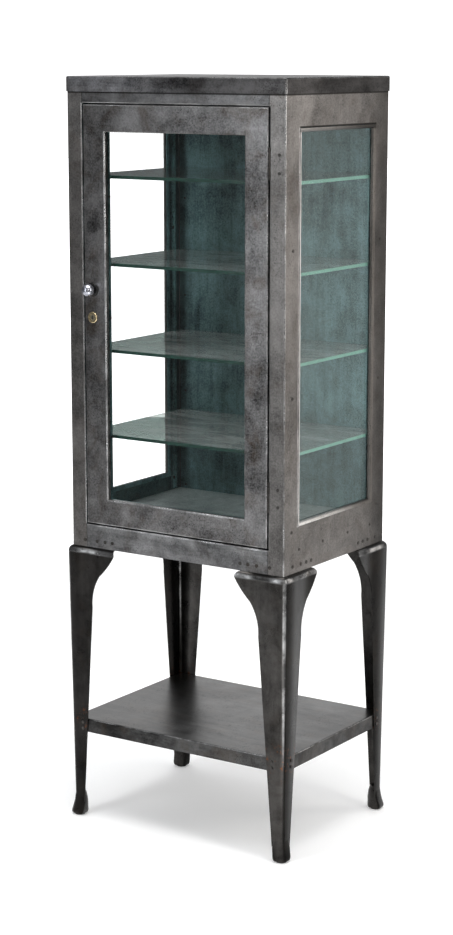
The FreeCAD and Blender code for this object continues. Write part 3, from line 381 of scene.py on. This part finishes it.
# Painted shadow under the cap's overhang
UNDER_CAP = CAP_LOW - 0.0005
under_cap_shadow = [(X, FRONT, UNDER_CAP, 0.0035, -HALF_W, HALF_W)]
under_cap_shadow += [(Y, s * HALF_W, UNDER_CAP, 0.0035, FRONT, BACK) for s in BOTH]

CAP_ROUND, CAP_EDGE = 0.0018, 0.001
cap_corner_y = (CAP_Y + CAP_ROUND, BACK + 0.0007)
cap_wear_and_highlight = [(Z, s * (CAP_X - CAP_ROUND), y, 0.0038, CAP_LOW, TOP) for s in BOTH for y in cap_corner_y]
cap_wear_and_highlight += [(X, CAP_Y + CAP_EDGE, TOP - CAP_EDGE, 0.0030, -CAP_X, CAP_X)]
cap_wear_and_highlight += [(Y, s * (CAP_X - CAP_EDGE), TOP - CAP_EDGE, 0.0030, CAP_Y, BACK) for s in BOTH]

door_wear_and_highlight = [(Z, x, FRONT, 0.0032, *DOOR_Z) for x in DOOR_X]
door_wear_and_highlight += [(X, FRONT, z, 0.0026, *DOOR_X) for z in DOOR_Z]
door_wear_and_highlight += [(Z, x, FRONT, 0.0034, *WINDOW_Z) for x in WINDOW_X]
door_wear_and_highlight += [(X, FRONT, WINDOW_Z[0], 0.0042, *WINDOW_X)]

# The legs stand this far proud of the carcass: along the shin, and at the rolled shoulder
SHIN_PROUD, SHOULDER_PROUD = 0.005, 0.0075
ANKLE = 0.05
ROLL_Z = LEG_TOP - 0.008
leg_y = (FRONT - SHIN_PROUD, BACK + SHIN_PROUD)
roll_y = (FRONT - SHOULDER_PROUD, BACK + SHOULDER_PROUD)
leg_wear_and_highlight = [(Z, s * (HALF_W + SHIN_PROUD), y, 0.0050, ANKLE, LEG_TOP - 0.01) for s in BOTH for y in leg_y]
leg_wear_and_highlight += [(X, y, ROLL_Z, 0.0065, -0.27, 0.27) for y in roll_y]
leg_wear_and_highlight += [(Y, s * (HALF_W + SHOULDER_PROUD), ROLL_Z, 0.0065, -0.22, 0.23) for s in BOTH]

TRAY_PROUD = 0.0023
tray_wear_and_highlight = [(X, FRONT - TRAY_PROUD, TRAY_TOP, 0.0024, -0.26, 0.26)]
tray_wear_and_highlight += [(Y, s * (HALF_W + TRAY_PROUD), TRAY_TOP, 0.0024, -0.2, 0.22) for s in BOTH]

panel_steel = steel(
    "panel_steel",
    (0.046, 0.044, 0.042),
    (0.312, 0.298, 0.287),
    contrast=1.0,
    streak=0.12,
    cloudy=0.12,
    rough=SATIN,
    facing=(X, "inward", TEAL_DARK, (0.170, 0.270, 0.275)),
    # Painted shade: darker behind the side window and below the top band
    shade_fades=[(Y, 0.105, 0.185, 0.66), (Z, 1.42, 1.30, 0.25)],
    worn_and_lit_edges=corner_wear_and_highlight + stile_wear_and_highlight + window_highlight,
    worn_and_lit_colour=(0.50, 0.50, 0.50),
    grime_and_shadow=window_top_shadow + under_cap_shadow,
)
rail_steel = steel(
    "rail_steel",
    (0.031, 0.031, 0.032),
    (0.310, 0.310, 0.313),
    rough=SATIN,
    brush=(0.04, 1.0, 1.0),
    contrast=1.4,
    cloudy=0.14,
    # Painted shade: darker at the top rail
    shade_fades=[(Z, 1.0, 1.3, 0.22)],
    worn_and_lit_colour=(0.80, 0.80, 0.80),
    worn_and_lit_edges=sill_wear_and_highlight,
    grime_and_shadow=seam_grime + under_cap_shadow[:1],
)
cap_steel = steel(
    "cap_steel",
    (0.035, 0.035, 0.038),
    (0.400, 0.400, 0.415),
    rough=SATIN,
    brush=(0.04, 0.04, 1.0),
    contrast=1.55,
    cloudy=0.1,
    # Painted shade: darker towards the right end and on the right-hand face
    shade_fades=[(X, -0.20, 0.06, 0.84), (X, 0.249, 0.254, 0.30)],
    worn_and_lit_edges=cap_wear_and_highlight,
    worn_and_lit_colour=(0.26, 0.26, 0.26),
)
door_steel = steel(
    "door_steel",
    (0.028, 0.027, 0.027),
    (0.285, 0.280, 0.280),
    stain_share=0.85,
    rough=SATIN,
    contrast=1.4,
    # Painted shade: darker at the left
    shade_fades=[(X, -0.12, -0.18, 0.20)],
    cross=(sum(WINDOW_Z) / 2, (WINDOW_Z[1] - WINDOW_Z[0]) / 2, (0.04, 1.0, 1.0)),
    streak=0.16,
    cloudy=0.12,
    pits=0.9,
    worn_and_lit_edges=door_wear_and_highlight,
    worn_and_lit_colour=(0.72, 0.72, 0.72),
)
# The light colours are a painted highlight on the front beads; the fades are painted shade on the rear and top
# beads
bead_steel = steel(
    "bead_steel",
    (0.45, 0.44, 0.43),
    (0.92, 0.91, 0.89),
    rough=(0.30, 0.45),
    stain_share=0.3,
    shade_fades=[(Y, SIDE_Y[0] + 0.02, SIDE_Y[1] - 0.02, 0.92), (Z, SIDE_Z[1] - 0.012, SIDE_Z[1] - 0.006, 0.7)],
)
leg = {
    "stain": (0.020, 0.014, 0.009),
    "rough": (0.20, 0.38),
    "contrast": 1.3,
    "cloudy": 0.22,
    # Painted shade: darker towards the floor
    "shade_fades": [(Z, 0.42, 0.10, 0.22)],
    "pits": 0.3,
    "worn_and_lit_edges": leg_wear_and_highlight,
    "worn_and_lit_colour": (0.30, 0.30, 0.30),
    "wear_gloss": 0.0,
    "rust": (0.205, 0.05, 0.8),
    "crown": (HALF_W + 0.008, BACK - SHIFT + 0.008, 0.026, 0.24),
}
# Painted shade on the legs' right-hand faces
leg_painted_shade = (X, 1.0, (0.0045, 0.0042, 0.0040), (0.020, 0.019, 0.018))
leg_steel = steel("leg_steel", (0.0160, 0.0152, 0.0145), (0.082, 0.078, 0.074), facing=leg_painted_shade, **leg)
# A darker copy for the front-left leg: painted shade
shaded_leg_steel = steel("shaded_leg_steel", (0.0060, 0.0058, 0.0055), (0.032, 0.030, 0.0285), **leg)
tray_steel = steel(
    "tray_steel",
    (0.018, 0.018, 0.018),
    (0.100, 0.100, 0.099),
    rough=(0.24, 0.40),
    contrast=1.7,
    cloudy=0.2,
    brush=(0.05, 1.0, 1.0),
    # Painted shade: darker towards both ends, most at the left
    shade_fades=[(X, -0.06, -0.25, 0.45), (X, 0.12, 0.27, 0.2)],
    pits=0.5,
    worn_and_lit_edges=tray_wear_and_highlight,
)
inner = {"stain": (0.035, 0.034, 0.030), "brush": (1.0, 1.0, 0.012), "brush_share": 0.6, "pits": 0.5}
inner_steel = steel("inner_steel", TEAL_DARK, TEAL_LIGHT, contrast=1.4, **inner)
# A lighter copy of the inside steel for the deck: painted light
lit_deck_steel = steel("lit_deck_steel", (0.100, 0.135, 0.135), (0.400, 0.455, 0.450), contrast=1.4, metal=0.5, **inner)
back_steel = steel(
    "back_steel",
    TEAL_DARK,
    TEAL_LIGHT,
    contrast=1.4,
    facing=(Y, 1.0, (0.030, 0.029, 0.028), (0.220, 0.212, 0.204)),
    **inner,
)
fitting_steel = steel("fitting_steel", (0.020, 0.019, 0.018), (0.090, 0.085, 0.080), rough=(0.35, 0.55), pits=0.3)
glide_steel = steel("glide_steel", (0.010, 0.010, 0.010), (0.035, 0.035, 0.035), rough=(0.3, 0.5), pits=0.2)
chrome = polished("knob_chrome", (0.42, 0.43, 0.48), (0.18, 0.18, 0.20), 0.22)
brass = polished("lock_brass", (0.66, 0.54, 0.33), (0.26, 0.19, 0.10), 0.20)
plug_brass = polished("plug_brass", (0.34, 0.31, 0.24), (0.10, 0.09, 0.07), 0.28)
door_pane = pane("door_pane", mirror=0.022)
side_pane = pane("side_pane", mirror=0.08)
shelf_glass = glass(
    "shelf_glass",
    tint=(0.82, 0.87, 0.855),
    depth=(0.50, 0.585, 0.555),
    density=400.0,
    haze=0.30,
    edge=(0.012, 0.055, 0.040),
    end=(0.20, 0.48, 0.38),
)

standards = [side + "_" + place + "_standard" for side in ("left", "right") for place in ("front", "rear")]
rebates = ["left_window_rebate", "right_window_rebate"]
hinges = [a + "_hinge_" + b for a in ("upper", "lower") for b in ("frame_leaf", "door_leaf", "pin")]
screws = ["back_panel_screws", "deck_screws", "standard_screws", "glass_stop_screws", "hinge_screws"]
rivets = ["leg_rivets", "lower_shelf_rivets"]
works = ["knob_spindle", "turn_catch", "spindle_nut", "lock_nut", "lock_cam", "lock_cam_screw"]
shelves = ["upper_shelf", "second_shelf", "third_shelf", "bottom_shelf"]
side_panes = ["left_side_pane", "right_side_pane"]

dress(["left_side_panel", "right_side_panel"], panel_steel)
dress(["front_top_rail", "front_bottom_rail", "rear_bottom_rail"], rail_steel)
dress(["top_cap"], cap_steel)
dress(["door_frame"], door_steel)
dress(["left_window_beads", "right_window_beads"], bead_steel)
dress(["front_right_leg", "rear_left_leg", "rear_right_leg"], leg_steel)
dress(["front_left_leg"], shaded_leg_steel)
dress(["lower_shelf"], tray_steel)
dress(["back_panel"], back_steel)
dress(["cabinet_deck"], lit_deck_steel)
dress(["carcass_top", "door_glass_stops", "shelf_clips"] + standards + rebates, inner_steel)
dress(["foot_glides", "knob_rosette"], glide_steel)
dress(["door_knob"], chrome)
dress(["lock_barrel"], brass)
dress(["lock_plug"], plug_brass)
dress(screws + rivets + works + hinges, fitting_steel)
dress(shelves, shelf_glass)
dress(side_panes, side_pane)
dress(["door_pane"], door_pane)
for name in shelves + side_panes + ["door_pane"]:
    nodes[name].visible_shadow = False


# Stage: a white floor and a round white wall, soft lights and the camera
AZIMUTH = math.radians(33.76)
PITCH = math.radians(10.905)
heading = Vector((-math.sin(AZIMUTH), math.cos(AZIMUTH), 0.0))
SIDES = 96
NEAR, FAR = 3.4, 28.0
WALL_HEIGHT = 12.0
WHITE_GLOW = 1.4
FLOOR_DROP = 0.003


def ring(name, inner, outer, low, high, material):
    """A flat ring, or an upright wall when both radii are the same."""
    points = []
    faces = []
    for i in range(SIDES):
        turn = 2 * math.pi * i / SIDES
        c, s = math.cos(turn), math.sin(turn)
        points += [(inner * c, inner * s, low), (outer * c, outer * s, high)]
        j = (i + 1) % SIDES
        faces.append((2 * i, 2 * i + 1, 2 * j + 1, 2 * j))
    mesh = bpy.data.meshes.new(name)
    mesh.from_pydata(points, [], faces)
    mesh.materials.append(material)
    made = bpy.data.objects.new(name, mesh)
    bpy.context.scene.collection.objects.link(made)
    return made


def paper(name, near):
    """White floor, lit by the lamps close by and by its own glow far out. The near floor fades into the far one."""
    g = Graph(name)
    across = g.math("MULTIPLY", g.axis(X), g.axis(X))
    radius = g.math("SQRT", g.math("MULTIPLY_ADD", g.axis(Y), g.axis(Y), across))
    sockets = {"Alpha": g.band(radius, 1.4, NEAR, 1.0, 0.0)} if near else {}
    g.surface(
        Base_Color=(0.90, 0.90, 0.90),
        Roughness=0.8,
        Specular_IOR_Level=0.1,
        Emission_Color=(1.0, 1.0, 1.0),
        Emission_Strength=g.band(radius, 1.0, 4.5, 0.22, WHITE_GLOW),
        **sockets,
    )
    return g.mat


floor = ring("floor", 0.0, NEAR, 0.0, 0.0, paper("near_paper", True))
floor.visible_shadow = False
far_floor = ring("far_floor", 0.0, FAR, -FLOOR_DROP, -FLOOR_DROP, paper("far_paper", False))

white = Graph("wall_white")
light = white.tree.nodes.new("ShaderNodeEmission")
light.inputs["Strength"].default_value = WHITE_GLOW
white.tree.links.new(light.outputs[0], white.out.inputs["Surface"])
wall = ring("wall", FAR, FAR, 0.0, WALL_HEIGHT, white.mat)
for far in (far_floor, wall):
    far.visible_glossy = False
    far.visible_diffuse = False


def lamp(name, place, target, size, power, colour=(1.0, 1.0, 1.0)):
    """A soft rectangular light at a place, turned to a target."""
    data = bpy.data.lights.new(name, "AREA")
    data.shape = "RECTANGLE"
    data.size, data.size_y = size
    data.energy = power
    data.color = colour
    made = bpy.data.objects.new(name, data)
    made.location = place
    aim = Vector(target) - Vector(place)
    made.rotation_euler = aim.to_track_quat("-Z", "Y").to_euler()
    bpy.context.scene.collection.objects.link(made)
    return made


lamp("overhead", (0.2, -0.5, 3.4), (0.0, 0.0, 0.9), (2.2, 1.6), 60.0)
lamp("right_bank", (2.6, -0.4, 1.6), (0.2, 0.0, 0.9), (0.7, 2.2), 22.0, (1.0, 0.97, 0.93))
lamp("key", (1.9, -2.8, 2.2), (0.0, 0.0, 0.9), (1.0, 1.4), 17.0, (1.0, 0.98, 0.96))
lamp("left_bank", (-0.75, -2.6, 1.4), (0.0, -0.1, 0.9), (0.7, 2.2), 18.0, (0.94, 0.97, 1.0))
lamp("side_bank", (2.3, 3.0, 1.3), (0.25, 0.1, 1.0), (2.8, 3.2), 12.0, (1.0, 0.97, 0.94))
lamp("side_key", (1.75, 1.45, 1.1), (0.25, 0.0, 1.0), (0.5, 2.0), 8.0, (1.0, 0.94, 0.88))

# Behind the part as the camera sees it: a high bank, and a low one that the lower shelf mirrors
back = heading * 2.8
lamp("back_bank", (back.x, back.y, 2.4), (0.0, 0.0, 1.0), (3.0, 1.0), 9.0)
low = heading * 1.2
tray_bank = lamp("tray_bank", (low.x, low.y, 0.60), (0.0, 0.0, 0.25), (2.4, 0.75), 6.2)
tray_bank.visible_camera = False

# A strip just over the floor that shines upwards, for the bright line on the legs' corners
strip = lamp("corner_strip", (0.92, -1.17, 0.01), (0.92, -1.17, 1.0), (0.8, 1.6), 8.0)
strip.rotation_euler = (math.pi, 0.0, AZIMUTH)
strip.visible_camera = False

# Sky: dim up to a height and brighter overhead
world = bpy.data.worlds.new("studio")
world.use_nodes = True
tree = world.node_tree
sky = tree.nodes["Background"]
sky.inputs["Color"].default_value = (0.82, 0.83, 0.85, 1.0)
way = tree.nodes.new("ShaderNodeTexCoord")
up = tree.nodes.new("ShaderNodeSeparateXYZ")
rise = tree.nodes.new("ShaderNodeMapRange")
for socket, value in (("From Min", 0.40), ("From Max", 0.80), ("To Min", 0.16), ("To Max", 0.75)):
    rise.inputs[socket].default_value = value
tree.links.new(way.outputs["Generated"], up.inputs[0])
tree.links.new(up.outputs[Z], rise.inputs["Value"])
tree.links.new(rise.outputs[0], sky.inputs["Strength"])
bpy.context.scene.world = world

lens = bpy.data.cameras.new("camera")
lens.lens = 83.55
lens.sensor_width = 36.0
camera = bpy.data.objects.new("camera", lens)
camera.location = (2.4038, -3.6034 + SHIFT, 1.5665)
camera.rotation_euler = (math.pi / 2 - PITCH, 0.0, AZIMUTH)
bpy.context.scene.collection.objects.link(camera)
bpy.context.scene.camera = camera
bpy.context.scene.view_settings.view_transform = "Standard"
